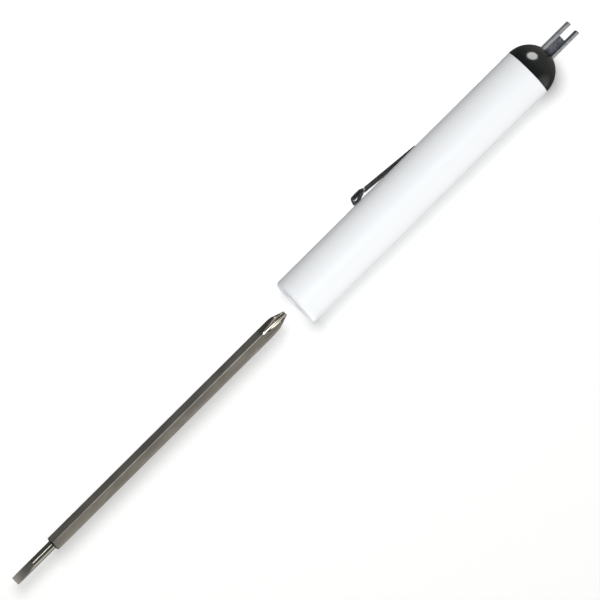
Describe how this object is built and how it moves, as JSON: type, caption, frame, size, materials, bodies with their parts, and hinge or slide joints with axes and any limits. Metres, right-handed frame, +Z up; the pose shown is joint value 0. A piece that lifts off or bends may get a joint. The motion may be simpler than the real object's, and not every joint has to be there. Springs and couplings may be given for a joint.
{
  "type": "pocket screwdriver",
  "caption": "Slim pocket screwdriver: white barrel, reversible double-ended hex blade, glossy domed cap with a slotted fork tool, and a sprung pocket clip.",
  "frame": {"origin": "on the tool axis, at the nose face of the barrel, where the blade goes in", "axes": "+X along the tool axis towards the domed cap, +Z up, the pocket clip on the +Y side"},
  "size_m": [0.2069, 0.0165, 0.0142],
  "materials": {
    "barrel_plastic": "smooth white, semi-gloss",
    "cap_plastic": "polished black",
    "fork_steel": "folded sheet, tumbled, dull grey",
    "holder_plastic": "plain moulded",
    "ring_rubber": "moulded ring",
    "clip_steel": "polished dark nickel",
    "blade_steel": "drawn hexagonal bar, dark plated"
  },
  "bodies": {
    "handle": {"barrel": "barrel_plastic", "end_cap": "cap_plastic", "valve_fork": "fork_steel", "blade_holder": "holder_plastic", "grip_ring": "ring_rubber", "clip_tail": "clip_steel"},
    "blade": {"blade": "blade_steel"},
    "clip": {"clip_arm": "clip_steel"}
  },
  "joints": [
    {"name": "blade_slide", "type": "slide", "parent": "handle", "child": "blade", "axis": [1, 0, 0], "range_m": [0, 0.0615]},
    {"name": "clip_flex", "type": "hinge", "parent": "handle", "child": "clip", "pos_m": [0.0517, 0.00685, -0.00084], "axis": [0, -0.1219, -0.9925], "range_deg": [0, 5], "stiffness_Nm_per_rad": 0.9, "springref_deg": -1.72}
  ]
}
